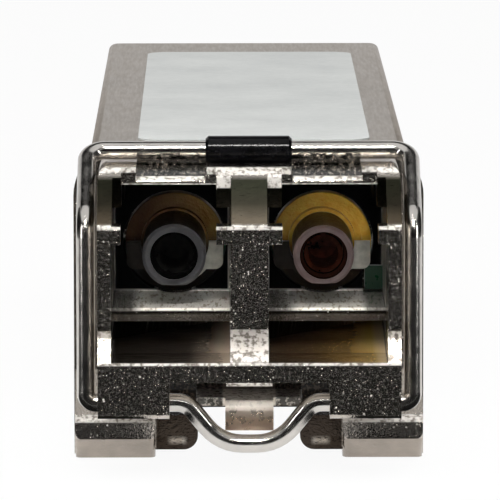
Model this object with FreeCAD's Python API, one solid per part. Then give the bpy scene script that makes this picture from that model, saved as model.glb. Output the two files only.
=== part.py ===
"""Small form-factor pluggable optical transceiver with a duplex LC port and a wire bail latch.

Millimetres. Origin: midway between the two optical axes, in the plane of the port face.
+X runs from the transmit port to the receive port, +Y runs into the host, +Z is up.
"""
import FreeCAD, Part
import math
import os

V = FreeCAD.Vector

# ---------------------------------------------------------------- driving dimensions
# Envelope of the pluggable body
BODY_W = 13.4            # width inside the cage
BODY_H = 8.5             # height inside the cage
BODY_LEN = 47.5          # from the stop face to the rear end
NOSE_LEN = 9.0           # from the port face to the stop face
AXIS_TO_TOP = 4.15       # optical axes below the top face
LC_PITCH = 6.25          # distance between the optical axes

# Housing casting
WALL_T = 0.8             # side walls of the tray
FLOOR_T = 0.9            # floor of the tray
EDGE_R = 0.35            # long outer edges
FLANGE_STANDOFF = 0.68   # stop flange beyond the body, on each side
FLANGE_LIP = 0.25        # stop flange beyond the bail, on each side
FLANGE_T = 1.5           # stop flange, along Y
FLANGE_R = 1.9           # upper corners of the stop flange
NOSE_TOP_DROP = 0.25     # nose top below the body top
BAIL_SEAT_D = 0.38       # shallow recess under the bail bar
PAD_W = 1.57             # raised pads left at the nose's upper corners
LIP_W = 3.6              # raised lip under the bail sleeve
LIP_L = 1.5              # the lip, along Y
NOSE_BELOW = 0.32        # nose underside below the body's underside
NOSE_FLOOR_T = 0.82      # floor of the port cavities

# Port cavities
NOSE_WALL_T = 0.55       # outer walls of the cavities
STEM_W = 1.58            # centre wall between the cavities
BAY_DEPTH = 9.2          # cavities, along Y
CATCH_W = 3.94           # opening between the latch catches
CATCH_Z = 1.05           # underside of the latch catches
CATCH_H = 0.75           # height of the catches at the front
CATCH_T = 1.2            # catches, along Y
STEM_BOTTOM_Z = -2.45    # lower end of the front of the centre wall
STEM_RELIEF = 1.3        # how far the centre wall is cut back below that
SLOPE_Y = 3.0            # the nose's upper front slopes back over this length
STEP_Y = 2.5             # beside the latch openings it is set back this far instead
STEP_W = 0.62            # width of the set-back beside the centre wall
STEP_COLUMN_W = 0.36     # and beside each outer column
SHELF_Z = -2.12          # top of the shelf that a plug slides on
SHELF_T = 0.5
SHELF_LIP = 0.2          # upright part of its front
SHELF_NOSE = 0.38        # below that it slopes forward by this much
SHELF_Y = 4.2            # front edge of the shelf
RAMP_Y = 3.0             # from here the floor rises, clear of the actuator's channel
RAMP_MIDDLE_Y = 5.25
RAMP_MIDDLE_H = 0.27     # its height there
RAMP_END_H = 0.6         # and at the end of the cavity
HOOD_W = 3.75            # latch channel behind the slope
HOOD_Z = 3.2             # its ceiling
HOOD_Y = 5.2             # where the narrower channel starts
HOOD_EDGE_R = 0.28       # upper front edge of the hood
PLUG_TOP_Z = 2.3         # ceiling of the plug space beside the latch channel

# Bail and its pivot
WIRE_D = 0.76
BAIL_SIDE_GAP = 0.12     # legs off the nose's sides
PIVOT_Y = 1.3
PIVOT_DROP = 1.0         # pivot below the nose's underside
PIVOT_CLEAR = 0.03       # radial
KINK_Z = 1.85            # where the legs lean back
BAR_Y = 5.6
BAR_Z = 4.35
BAIL_CORNER_R = 0.75
BAIL_PIVOT_R = 0.42
BAIL_KINK_R = 1.1
CRANK_DROP = 1.72        # crank arm
CRANK_TOP_W = 5.2
CRANK_BOTTOM_W = 2.4
CRANK_TOP_R = 0.8
CRANK_BOTTOM_R = 1.9
WIRE_GAP = 0.1           # between the two ends of the wire, inside the sleeve
SLEEVE_D = 1.2
SLEEVE_L = 3.6
SLEEVE_EDGE = 0.12       # chamfer of its ends
SLEEVE_FIT = 0.01        # radial

# Pivot blocks and feet under the nose
BLOCK_INNER_X = 3.3
BLOCK_H = 1.51           # pivot blocks, below the nose's underside
BLOCK_LEN = 3.0
BLOCK_EDGE_R = 0.22
FOOT_INNER_X = 3.95
FOOT_Y = 5.5
FOOT_INSET = 0.07        # outer sides of the feet, in from the stop flange
FOOT_DROP = 2.26         # tops of the feet below the nose's underside
FOOT_H = 1.85
FOOT_CHAMFER = 0.92
FOOT_EDGE_R = 0.25
RAIL_INNER_X = 2.15
RAIL_Y = 6.1
RAIL_H = 1.46            # below the tops of the feet
RAIL_R = 0.6

# Latch boss, actuator slide and its channel
BOSS_Y = 11.5            # latch shoulder
BOSS_LEN = 2.6
BOSS_W = 1.3
BOSS_H = 0.45            # below the body's underside
CHANNEL_W = 4.7
CHANNEL_D = 0.45
CHANNEL_END_Y = 15.2
SLIDE_TRAVEL = 1.6
SLIDE_T = 0.35
SLIDE_W = 4.4
SLIDE_GAP = 0.46         # bail crank to slide tab when the bail is closed
SLIDE_CLEAR = 0.05
TAB_W = 2.0
TAB_H = 1.25
TAB_BEND_R = 0.25        # rounding at the top of the tab
TAB_PAD_W = 1.9          # pad of the casting above the tab
TAB_PAD_H = 0.38
TAB_PAD_L = 3.4
TAB_PAD_R = 0.33
SLIDE_DROP = 1.05        # front part of the slide below the nose's underside
TAB_T = 0.5
JOGGLE_Y = 5.6           # the slide steps up here, from under the nose to its channel
TINE_END_Y = 13.0
TINE_W = 0.95
KEEPER_T = 0.4
KEEPER_H = 1.15
KEEPER_LAP = 0.4         # how far the keeper reaches into the flange's legs
SPRING_COIL_R = 0.33
SPRING_WIRE_D = 0.16
SPRING_TURNS = 4
SPRING_WIRE_SIDES = 4

# Cover
COVER_T = 0.3
COVER_SKIRT = 2.5
COVER_CORNER_R = 0.6
COVER_FIT = 0.03
SEAM_GAP = 0.08
LABEL_W = 9.9
LABEL_L = 40.0
LABEL_T = 0.06
LABEL_R = 1.0
LABEL_Y = 10.9
LABEL_X = 0.25           # centre of the label off the body's centre

# Optical subassemblies
BARREL_R = {"tx": 1.33, "rx": 1.27}
BARREL_Y = 4.7
BARREL_MOUTH_R = 1.0
BARREL_MOUTH_L = 0.8
BARREL_FLAT = 0.1
BARREL_FLAT_L = 3.0
BARREL_CHAMFER = 0.12
SLEEVE_BORE_R = 0.625    # LC ferrule
SPLIT_SLEEVE_T = 0.185
SPLIT_SLEEVE_SLIT = 0.22
SPLIT_SLEEVE_L = 3.35
SPLIT_SLEEVE_GAP = 0.06  # its rear end off the stub
STUB_R = 0.85            # ceramic stub behind the plug's ferrule
STUB_IN_COLLAR = 1.2     # its part inside the collar
COLLAR_R = 2.1
COLLAR_L = 2.2
COLLAR_REAR_R = 1.6
COLLAR_CLEAR = 0.1
GROOVE_R0 = 1.42         # annular groove in the collar's face
GROOVE_R1 = 1.7
GROOVE_D = 0.7
CLAMP_T = 0.35
CLAMP_CLEAR = 0.12
SADDLE_W = 4.1           # each saddle, across
SADDLE_TOP = 0.05        # its top above the optical axis
SADDLE_BOTTOM = 1.13     # its bottom below the axis
SADDLE_R = 0.35
SADDLE_STRAP_T = 0.3     # strap that joins its sides under the barrel
CAN_R = {"tx": 1.75, "rx": 1.95}
CAN_L = {"tx": 4.4, "rx": 3.2}
HEADER_R = 2.3
HEADER_T = 0.5
OSA_WALL_T = 1.4         # casting wall that the collars sit in

# Circuit board
PCB_T = 1.0
PCB_ABOVE_BOTTOM = 2.25
PCB_SIDE_CLEAR = 0.15
PCB_EDGE_W = 9.2
PCB_Y = 20.0
PCB_END_Y = 53.3
PCB_NECK_Y = 47.0
ARM_Y = 10.0             # front end of the arm beside the receive can
ARM_FRONT_L = 1.5
ARM_SIDE = 0.5           # width of the arm
ARM_FRONT_SIDE = 0.78    # and of its front end
BOARD_NOTCH = 0.1        # gap round it in the casting
FLEX_T = 0.12
FLEX_W = 3.6
FLEX_LAP = 2.6
PAD_COUNT = 10
PAD_PITCH = 0.8
PAD_WIDTH = 0.55
PAD_LEN = 2.0
PAD_T = 0.04
PAD_INSET = 0.35
CHIP_CHAMFER = 0.1
CHIPS = {                # share of the board's half width, distance from its front, side, height
    "laser_driver": (-0.5, 7.8, 3.0, 0.8),
    "limiting_amplifier": (0.5, 7.8, 3.0, 0.8),
    "microcontroller": (0.0, 15.0, 4.0, 0.9),
    "power_filter": (-0.55, 21.5, 2.2, 1.1),
}
SMALL_ROWS = 4           # rows of small capacitors and resistors
SMALL_COLUMNS = 5
SMALL_FRONT = 4.4        # first row behind the board's front
SMALL_ROW_PITCH = 6.75
SMALL_L = 1.0
SMALL_W = 0.5
CONNECTOR_OPEN_Y = 46.1  # the tray's floor ends here, for the host's connector
PCB_LEDGE_W = 0.9
PCB_LEDGE_L = 2.4

# Shield collar with spring fingers, behind the stop flange
EMI_T = 0.1
EMI_L = 4.6
EMI_DROP = 2.9           # its upper edge below the body top
EMI_BOW = 0.5
EMI_FINGERS = 3
EMI_FINGER_W = 1.2
EMI_RECESS = 0.12
EMI_FOOT_W = 2.6         # how far it turns in under the body

# ---------------------------------------------------------------- places worked out from them
TOP_Z = AXIS_TO_TOP
BOTTOM_Z = TOP_Z - BODY_H
STOP_Y = NOSE_LEN
REAR_Y = STOP_Y + BODY_LEN
FLANGE_Y = STOP_Y - FLANGE_T
NOSE_TOP_Z = TOP_Z - NOSE_TOP_DROP
NOSE_UNDER_Z = BOTTOM_Z - NOSE_BELOW
NOSE_FLOOR_Z = NOSE_UNDER_Z + NOSE_FLOOR_T
PIVOT_Z = NOSE_UNDER_Z - PIVOT_DROP
BLOCK_BOTTOM_Z = NOSE_UNDER_Z - BLOCK_H
FOOT_TOP_Z = NOSE_UNDER_Z - FOOT_DROP
FOOT_BOTTOM_Z = FOOT_TOP_Z - FOOT_H
RAIL_BOTTOM_Z = FOOT_TOP_Z - RAIL_H
WIRE_R = WIRE_D / 2
FLANGE_W = BODY_W + 2 * FLANGE_STANDOFF
BAIL_PITCH = FLANGE_W - 2 * FLANGE_LIP - WIRE_D
NOSE_W = BAIL_PITCH - WIRE_D - 2 * BAIL_SIDE_GAP
BAY_OUTER_X = NOSE_W / 2 - NOSE_WALL_T
HALF_PITCH = LC_PITCH / 2
CATCH_INNER_X = HALF_PITCH - CATCH_W / 2 + 0.2
CATCH_OUTER_X = CATCH_INNER_X + CATCH_W
CHANNEL_Z = BOTTOM_Z + CHANNEL_D
INNER_HALF_W = BODY_W / 2 - WALL_T
FLOOR_TOP_Z = BOTTOM_Z + FLOOR_T
COVER_UNDER_Z = TOP_Z - COVER_T
SKIRT_Z = TOP_Z - COVER_SKIRT
OSA_WALL_END_Y = BAY_DEPTH + CLAMP_T + OSA_WALL_T
COLLAR_Y = BAY_DEPTH + CLAMP_T + SLIDE_CLEAR
SLEEVE_Y = BARREL_Y + BARREL_MOUTH_L
STUB_Y = SLEEVE_Y + SPLIT_SLEEVE_L + SPLIT_SLEEVE_GAP
PCB_BOTTOM_Z = BOTTOM_Z + PCB_ABOVE_BOTTOM
PCB_TOP_Z = PCB_BOTTOM_Z + PCB_T
PCB_HALF_W = INNER_HALF_W - PCB_SIDE_CLEAR
ARM_X = PCB_HALF_W - ARM_SIDE
ARM_FRONT_X = PCB_HALF_W - ARM_FRONT_SIDE
SLIDE_TOP_Z = CHANNEL_Z - SLIDE_CLEAR
SLIDE_LOW_TOP_Z = NOSE_UNDER_Z - SLIDE_DROP
TAB_BOTTOM_Z = SLIDE_LOW_TOP_Z - TAB_H
SPRING_Z = SLIDE_LOW_TOP_Z - SLIDE_T - SLIDE_CLEAR - SPRING_COIL_R - SPRING_WIRE_D / 2
TAB_Y = PIVOT_Y + WIRE_R + SLIDE_GAP
KEEPER_Y = FLANGE_Y + (FLANGE_T - KEEPER_T) / 2


# ---------------------------------------------------------------- helpers
def box(x0, x1, y0, y1, z0, z1):
    """Box between two corners."""
    return Part.makeBox(x1 - x0, y1 - y0, z1 - z0, V(x0, y0, z0))


def centred(width, y0, y1, z0, z1, x=0.0):
    """Box of a given width about x."""
    return box(x - width / 2, x + width / 2, y0, y1, z0, z1)


def pair(x0, x1, y0, y1, z0, z1):
    """Two boxes, mirrored about the YZ plane."""
    return [box(x0, x1, y0, y1, z0, z1), box(-x1, -x0, y0, y1, z0, z1)]


def mirrored(shape):
    """Copy mirrored about the YZ plane."""
    return shape.mirror(V(0, 0, 0), V(1, 0, 0))


def rod_y(x, z, r, y0, y1):
    """Round bar along Y."""
    return Part.makeCylinder(r, y1 - y0, V(x, y0, z), V(0, 1, 0))


def rod_x(y, z, r, x0, x1):
    """Round bar along X."""
    return Part.makeCylinder(r, x1 - x0, V(x0, y, z), V(1, 0, 0))


def prism_x(points, x0, x1):
    """Prism along X from a profile of (y, z) points."""
    wire = Part.makePolygon([V(x0, y, z) for y, z in points + points[:1]])
    return Part.Face(wire).extrude(V(x1 - x0, 0, 0))


def prism_z(points, z0, z1):
    """Prism along Z from a profile of (x, y) points."""
    wire = Part.makePolygon([V(x, y, z0) for x, y in points + points[:1]])
    return Part.Face(wire).extrude(V(0, 0, z1 - z0))


def round_edges(shape, radius, wanted):
    """Fillet the straight edges whose middle point and direction are wanted."""
    chosen = []
    for edge in shape.Edges:
        if not isinstance(edge.Curve, Part.Line):
            continue
        if wanted(edge.CenterOfMass, edge.tangentAt(edge.FirstParameter)):
            chosen.append(edge)
    return shape.makeFillet(radius, chosen)


def run(start, end, radius):
    """Round bar between two points."""
    along = end - start
    return Part.makeCylinder(radius, along.Length, start, along)


def bend(first, centre, normal, radius, turn):
    """Round bar that turns about a centre, from first, by an angle in radians."""
    inward = centre - first
    disc = Part.Face(Part.Wire(Part.makeCircle(radius, first, normal.cross(inward))))
    return disc.revolve(centre, normal, math.degrees(turn))


def rounded_wire(points, radii, diameter):
    """Round wire along a path of straight runs, each inner point rounded with its own radius."""
    pieces = []
    start = points[0]
    for i in range(1, len(points) - 1):
        before = (points[i - 1] - points[i]).normalize()
        after = (points[i + 1] - points[i]).normalize()
        turn = math.pi - before.getAngle(after)
        reach = radii[i - 1] * math.tan(turn / 2)
        first = points[i] + before * reach
        last = points[i] + after * reach
        centre = points[i] + (before + after).normalize() * (radii[i - 1] / math.cos(turn / 2))
        pieces.append(run(start, first, diameter / 2))
        pieces.append(bend(first, centre, after.cross(before).normalize(), diameter / 2, turn))
        start = last
    pieces.append(run(start, points[-1], diameter / 2))
    return pieces[0].multiFuse(pieces[1:]).removeSplitter()


def export(name, shapes):
    """Write one node."""
    if not isinstance(shapes, list):
        shapes = [shapes]
    shape = shapes[0] if len(shapes) == 1 else Part.makeCompound(shapes)
    shape.exportStep("parts/" + name + ".step")


# ---------------------------------------------------------------- housing casting
def nose_block():
    """Nose, with rounded long edges."""
    nose = centred(NOSE_W, 0, FLANGE_Y, NOSE_UNDER_Z, NOSE_TOP_Z)
    nose = round_edges(nose, EDGE_R, lambda p, d: abs(d.y) > 0.9 and p.z > 0)
    return nose


def nose_slope():
    """What the slope above the latch catches takes off the nose."""
    top = CATCH_Z + CATCH_H
    points = [(-1, top), (0, top), (SLOPE_Y, NOSE_TOP_Z), (SLOPE_Y, NOSE_TOP_Z + 1), (-1, NOSE_TOP_Z + 1)]
    return prism_x(points, -NOSE_W, NOSE_W)


def bail_seat():
    """Shallow recess in the nose's top, between the corner pads and around the lip."""
    z0 = NOSE_TOP_Z - BAIL_SEAT_D
    half = NOSE_W / 2 - PAD_W
    seat = box(-half, half, SLOPE_Y - 1, FLANGE_Y, z0, NOSE_TOP_Z + 1)
    lip = centred(LIP_W, SLOPE_Y - 1, SLOPE_Y + LIP_L, z0, NOSE_TOP_Z + 1)
    return seat.cut(lip)


def bay_cut():
    """One port cavity, on the +X side."""
    inner = STEM_W / 2
    ceiling = SHELF_Z - SHELF_T
    under = prism_x([(-1, NOSE_FLOOR_Z), (RAMP_Y, NOSE_FLOOR_Z),
                     (RAMP_MIDDLE_Y, NOSE_FLOOR_Z + RAMP_MIDDLE_H), (BAY_DEPTH, NOSE_FLOOR_Z + RAMP_END_H),
                     (BAY_DEPTH, ceiling), (SHELF_Y - SHELF_NOSE, ceiling),
                     (SHELF_Y, SHELF_Z - SHELF_LIP), (SHELF_Y, SHELF_Z), (-1, SHELF_Z)], inner, BAY_OUTER_X)
    plug = box(inner, BAY_OUTER_X, -1, BAY_DEPTH, SHELF_Z, CATCH_Z)
    lugs = box(inner, BAY_OUTER_X, CATCH_T, BAY_DEPTH, CATCH_Z, PLUG_TOP_Z)
    mouth = box(CATCH_INNER_X, CATCH_OUTER_X, -1, HOOD_Y, CATCH_Z, NOSE_TOP_Z + 1)
    mouth = mouth.cut(box(0, BODY_W, SLOPE_Y, BAY_DEPTH, HOOD_Z, NOSE_TOP_Z + 1))
    hood_x = (CATCH_INNER_X + CATCH_OUTER_X - HOOD_W) / 2
    hood = box(hood_x, hood_x + HOOD_W, SLOPE_Y, BAY_DEPTH, PLUG_TOP_Z, HOOD_Z)
    return under.multiFuse([plug, lugs, mouth, hood])


def slope_steps():
    """Set-backs in the slope, on both sides of the +X latch opening."""
    z0 = CATCH_Z + CATCH_H
    inner = box(CATCH_INNER_X - STEP_W, CATCH_INNER_X + 0.1, -1, STEP_Y, z0, NOSE_TOP_Z)
    outer = box(CATCH_OUTER_X - 0.1, CATCH_OUTER_X + STEP_COLUMN_W, -1, STEP_Y, z0, NOSE_TOP_Z)
    return inner.fuse(outer)


def relief(depth, x0, x1):
    """Set-back of a front below the stem; it slopes forward again down to the cavity's floor."""
    points = [(-1, STEM_BOTTOM_Z), (depth, STEM_BOTTOM_Z), (0, NOSE_FLOOR_Z), (-1, NOSE_FLOOR_Z)]
    return prism_x(points, x0, x1)


def lower_reliefs():
    """Set-backs of the centre wall and of the two side columns."""
    side = relief(STEM_RELIEF / 2, BAY_OUTER_X - 0.1, NOSE_W)
    return [relief(STEM_RELIEF, -BAY_OUTER_X, BAY_OUTER_X), side, mirrored(side)]


def stop_flange():
    """Flange that stops against the cage, with its legs down to the feet."""
    half = FLANGE_W / 2
    frame = box(-half, half, FLANGE_Y, STOP_Y, FOOT_BOTTOM_Z, TOP_Z)
    frame = round_edges(frame, FLANGE_R, lambda p, d: abs(d.y) > 0.9 and p.z > 0)
    return frame.cut(centred(2 * FOOT_INNER_X, FLANGE_Y - 1, STOP_Y + 1, FOOT_BOTTOM_Z - 1, NOSE_UNDER_Z))


def foot():
    """Right foot, with the slope that joins it to the flange."""
    half = FLANGE_W / 2 - FOOT_INSET
    block = box(FOOT_INNER_X, half, FOOT_Y, FLANGE_Y + 0.1, FOOT_BOTTOM_Z, FOOT_TOP_Z)
    block = round_edges(block, FOOT_EDGE_R, lambda p, d: abs(d.x) > 0.9 and p.y < FOOT_Y + 0.01 and p.z > FOOT_TOP_Z - 0.01)
    bevel_z = FOOT_BOTTOM_Z + FOOT_CHAMFER
    bevel_y = FOOT_Y + FOOT_CHAMFER
    bevel = prism_x([(FOOT_Y - 1, bevel_z), (FOOT_Y, bevel_z), (bevel_y, FOOT_BOTTOM_Z),
                     (bevel_y, FOOT_BOTTOM_Z - 1), (FOOT_Y - 1, FOOT_BOTTOM_Z - 1)], 0, FLANGE_W)
    web_z = FOOT_TOP_Z + FLANGE_Y - FOOT_Y - FOOT_EDGE_R
    web = prism_x([(FOOT_Y + FOOT_EDGE_R, FOOT_TOP_Z - 0.1), (FLANGE_Y + 0.1, FOOT_TOP_Z - 0.1),
                   (FLANGE_Y + 0.1, web_z), (FLANGE_Y, web_z), (FOOT_Y + FOOT_EDGE_R, FOOT_TOP_Z)],
                  FOOT_INNER_X, half)
    whole = block.fuse(web).cut(bevel)
    return round_edges(whole, FOOT_EDGE_R, lambda p, d: abs(d.y) > 0.1 and abs(d.x) < 0.1 and p.y < bevel_y and p.z < bevel_z)


def guide_rail():
    """Right guide rail of the actuator slide, beside the foot."""
    rail = box(RAIL_INNER_X, FOOT_INNER_X + 0.1, RAIL_Y, STOP_Y, RAIL_BOTTOM_Z, FOOT_TOP_Z)
    return round_edges(rail, RAIL_R, lambda p, d: abs(d.y) > 0.9 and p.x < RAIL_INNER_X + 0.1 and p.z < FOOT_TOP_Z - 0.1)


def pivot_block():
    """Right block that holds the bail, without its hole."""
    block = box(BLOCK_INNER_X, NOSE_W / 2, 0, BLOCK_LEN, BLOCK_BOTTOM_Z, NOSE_UNDER_Z + 0.1)
    return round_edges(block, BLOCK_EDGE_R, lambda p, d: abs(d.x) > 0.9 and p.z < BLOCK_BOTTOM_Z + 0.01)


def tray():
    """Open-topped tray behind the flange, its upper walls set in for the cover's skirts."""
    half = BODY_W / 2
    outer = box(-half, half, FLANGE_Y, REAR_Y, BOTTOM_Z, SKIRT_Z - SEAM_GAP)
    outer = round_edges(outer, EDGE_R, lambda p, d: abs(d.y) > 0.9 and p.z < 0)
    inset = half - COVER_T - COVER_FIT
    upper = box(-inset, inset, FLANGE_Y, REAR_Y - COVER_T, SKIRT_Z - 1, COVER_UNDER_Z - COVER_FIT)
    body = outer.fuse(upper)
    cavity = box(-INNER_HALF_W, INNER_HALF_W, OSA_WALL_END_Y, REAR_Y + 1, FLOOR_TOP_Z, TOP_Z + 1)
    connector = box(-INNER_HALF_W, INNER_HALF_W, CONNECTOR_OPEN_Y, REAR_Y + 1, BOTTOM_Z - 1, TOP_Z)
    return body.cut(cavity).cut(connector)


def board_ledges():
    """Ledges inside the tray that carry the circuit board."""
    ledges = []
    for y in (PCB_Y + 1.0, (PCB_Y + CONNECTOR_OPEN_Y) / 2, CONNECTOR_OPEN_Y - PCB_LEDGE_L - 1.0):
        ledges += pair(INNER_HALF_W - PCB_LEDGE_W, INNER_HALF_W + 0.1, y, y + PCB_LEDGE_L,
                       FLOOR_TOP_Z - 0.1, PCB_BOTTOM_Z)
    return ledges


def collar_holes():
    """Passages of the optical subassemblies through the casting wall."""
    holes = []
    for x in (-HALF_PITCH, HALF_PITCH):
        holes.append(rod_y(x, 0, COLLAR_R + COLLAR_CLEAR, BAY_DEPTH - 0.1, OSA_WALL_END_Y + 1))
    return holes


def clamp_slot():
    """Slot across both cavities for the clamp plate."""
    return box(-BAY_OUTER_X, BAY_OUTER_X, BAY_DEPTH - 0.01, BAY_DEPTH + CLAMP_T + SLIDE_CLEAR, SHELF_Z, PLUG_TOP_Z)


def board_notch():
    """Opening beside the receive collar for the board's arm."""
    return box(ARM_FRONT_X - BOARD_NOTCH, PCB_HALF_W + BOARD_NOTCH, BAY_DEPTH - 0.1, OSA_WALL_END_Y + 0.1,
               PCB_BOTTOM_Z - BOARD_NOTCH, PCB_TOP_Z + BOARD_NOTCH)


def tab_pad():
    """Pad under the nose, above the actuator's tab."""
    pad = centred(TAB_PAD_W, PIVOT_Y, PIVOT_Y + TAB_PAD_L, NOSE_UNDER_Z - TAB_PAD_H, NOSE_UNDER_Z + 0.1)
    return round_edges(pad, TAB_PAD_R, lambda p, d: abs(d.x) > 0.9 and p.y < PIVOT_Y + 0.01 and p.z < NOSE_UNDER_Z)


def latch_boss():
    """Boss that the cage's tongue catches on, with its lead-in to the rear."""
    z = BOTTOM_Z - BOSS_H
    end = BOSS_Y + BOSS_LEN
    points = [(BOSS_Y, CHANNEL_Z + 0.1), (BOSS_Y, z), (end - BOSS_H, z), (end, BOTTOM_Z), (end, CHANNEL_Z + 0.1)]
    return prism_x(points, -BOSS_W / 2, BOSS_W / 2)


def emi_recess():
    """Shallow recess round the body for the shield collar."""
    half = BODY_W / 2
    z_top = TOP_Z - EMI_DROP + SEAM_GAP
    end = STOP_Y + EMI_L + SEAM_GAP
    side = box(half - EMI_RECESS, half + 1, STOP_Y, end, BOTTOM_Z - 1, z_top)
    under = box(half - EMI_FOOT_W, half + 1, STOP_Y, end, BOTTOM_Z - 1, BOTTOM_Z + EMI_RECESS)
    right = side.fuse(under)
    return [right, mirrored(right)]


def housing():
    """Nose, flange, feet and tray in one casting."""
    solid = nose_block().cut(nose_slope()).cut(bail_seat())
    right = [pivot_block(), foot(), guide_rail()]
    solid = solid.multiFuse([stop_flange(), tray(), tab_pad()] + right + [mirrored(s) for s in right] + board_ledges())
    bay = bay_cut().fuse(slope_steps())
    cuts = [bay, mirrored(bay), clamp_slot(), board_notch()] + lower_reliefs() + collar_holes() + emi_recess()
    hole_r = WIRE_R + PIVOT_CLEAR
    cuts.append(rod_x(PIVOT_Y, PIVOT_Z, hole_r, -NOSE_W, NOSE_W))
    cuts.append(centred(CHANNEL_W, JOGGLE_Y - SLIDE_T, CHANNEL_END_Y, BOTTOM_Z - 1, CHANNEL_Z))
    cuts.append(centred(2 * (FOOT_INNER_X + KEEPER_LAP), KEEPER_Y - SLIDE_CLEAR, KEEPER_Y + KEEPER_T + SLIDE_CLEAR,
                        FOOT_TOP_Z, FOOT_TOP_Z + KEEPER_H + SLIDE_CLEAR))
    solid = solid.cut(Part.makeCompound(cuts)).fuse(latch_boss()).removeSplitter()
    seat_z = NOSE_TOP_Z - BAIL_SEAT_D
    return round_edges(solid, HOOD_EDGE_R, lambda p, d: abs(d.x) > 0.9 and abs(p.y - SLOPE_Y) < 0.01 and abs(p.z - seat_z) < 0.01)


# ---------------------------------------------------------------- cover and label
def cover():
    """Folded sheet cover, open at the front."""
    half = BODY_W / 2
    outer = box(-half, half, STOP_Y + SEAM_GAP, REAR_Y, SKIRT_Z, TOP_Z)
    outer = round_edges(outer, COVER_CORNER_R, lambda p, d: abs(d.z) > 0.9 and p.y > REAR_Y - 0.01)
    outer = round_edges(outer, EDGE_R, lambda p, d: abs(d.y) > 0.9 and p.z > TOP_Z - 0.01)
    inside = box(-half + COVER_T, half - COVER_T, STOP_Y - 1, REAR_Y - COVER_T, SKIRT_Z - 1, COVER_UNDER_Z)
    rear = box(-INNER_HALF_W, INNER_HALF_W, REAR_Y - 1, REAR_Y + 1, SKIRT_Z - 1, COVER_UNDER_Z - 0.7)
    return outer.cut(inside).cut(rear)


def label():
    """Bare label on the cover."""
    plate = centred(LABEL_W, LABEL_Y, LABEL_Y + LABEL_L, TOP_Z, TOP_Z + LABEL_T, LABEL_X)
    return round_edges(plate, LABEL_R, lambda p, d: abs(d.z) > 0.9)


# ---------------------------------------------------------------- bail
def bail_wire():
    """One bent wire: bar, legs, pivots and crank."""
    x = BAIL_PITCH / 2
    side = [V(-WIRE_GAP / 2, BAR_Y, BAR_Z), V(-x, BAR_Y, BAR_Z), V(-x, PIVOT_Y, KINK_Z), V(-x, PIVOT_Y, PIVOT_Z),
            V(-CRANK_TOP_W / 2, PIVOT_Y, PIVOT_Z), V(-CRANK_BOTTOM_W / 2, PIVOT_Y, PIVOT_Z - CRANK_DROP)]
    other = [V(-p.x, p.y, p.z) for p in reversed(side)]
    radii = [BAIL_CORNER_R, BAIL_KINK_R, BAIL_PIVOT_R, CRANK_TOP_R, CRANK_BOTTOM_R]
    return rounded_wire(side + other, radii + radii[::-1], WIRE_D)


def bail_sleeve():
    """Moulded sleeve over the joint of the wire."""
    outer = rod_x(BAR_Y, BAR_Z, SLEEVE_D / 2, -SLEEVE_L / 2, SLEEVE_L / 2)
    outer = outer.makeChamfer(SLEEVE_EDGE, [e for e in outer.Edges if isinstance(e.Curve, Part.Circle)])
    return outer.cut(rod_x(BAR_Y, BAR_Z, WIRE_R + SLEEVE_FIT, -SLEEVE_L, SLEEVE_L))


# ---------------------------------------------------------------- latch actuator
def actuator_slide():
    """Stamped slide: tab in front, step up at the flange, two kick-out tines beside the boss."""
    low_z = SLIDE_LOW_TOP_Z - SLIDE_T
    high_z = SLIDE_TOP_Z - SLIDE_T
    rise = SLIDE_TOP_Z - SLIDE_LOW_TOP_Z
    profile = [(TAB_Y, TAB_BOTTOM_Z), (TAB_Y + TAB_T, TAB_BOTTOM_Z), (TAB_Y + TAB_T, low_z), (JOGGLE_Y, low_z),
               (JOGGLE_Y + rise, high_z), (TINE_END_Y - BOSS_H, high_z - BOSS_H), (TINE_END_Y, high_z - BOSS_H),
               (TINE_END_Y, SLIDE_TOP_Z), (JOGGLE_Y + rise - SLIDE_T / 2, SLIDE_TOP_Z),
               (JOGGLE_Y - SLIDE_T / 2, SLIDE_LOW_TOP_Z), (TAB_Y, SLIDE_LOW_TOP_Z)]
    body = prism_x(profile, -SLIDE_W / 2, SLIDE_W / 2)
    body = round_edges(body, TAB_BEND_R, lambda p, d: p.y < TAB_Y + 0.01 and p.z > SLIDE_LOW_TOP_Z - 0.01)
    ramp_y = STOP_Y + 1.2
    flat = box(-SLIDE_W, SLIDE_W, JOGGLE_Y + rise + 0.01, ramp_y, TAB_BOTTOM_Z, high_z)
    slot = centred(SLIDE_W - 2 * TINE_W, BOSS_Y - SLIDE_TRAVEL - 0.2, TINE_END_Y + 1, TAB_BOTTOM_Z, TOP_Z)
    shoulders = pair(TAB_W / 2, SLIDE_W, TAB_Y - 1, TAB_Y + TAB_T + 0.4, TAB_BOTTOM_Z - 1, TOP_Z)
    return body.cut(flat).cut(slot).cut(Part.makeCompound(shoulders))


def actuator_keeper():
    """Plate across the guide rails that backs the return spring."""
    return centred(2 * (FOOT_INNER_X + KEEPER_LAP - SLIDE_CLEAR), KEEPER_Y, KEEPER_Y + KEEPER_T,
                   FOOT_TOP_Z + SLIDE_CLEAR, FOOT_TOP_Z + KEEPER_H)


def return_spring():
    """Compression spring between the slide's tab and the keeper."""
    start = TAB_Y + TAB_T + SLIDE_CLEAR + SPRING_WIRE_D / 2
    length = KEEPER_Y - SLIDE_CLEAR - SPRING_WIRE_D / 2 - start
    helix = Part.makeHelix(length / SPRING_TURNS, length, SPRING_COIL_R)
    corners = []
    for i in range(SPRING_WIRE_SIDES + 1):
        angle = math.tau * i / SPRING_WIRE_SIDES
        corners.append(V(SPRING_COIL_R + SPRING_WIRE_D / 2 * math.cos(angle), 0, SPRING_WIRE_D / 2 * math.sin(angle)))
    coil = Part.Wire(helix.Edges).makePipeShell([Part.makePolygon(corners)], True, True)
    coil.rotate(V(0, 0, 0), V(1, 0, 0), -90)
    coil.translate(V(0, start, SPRING_Z))
    return coil


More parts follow.
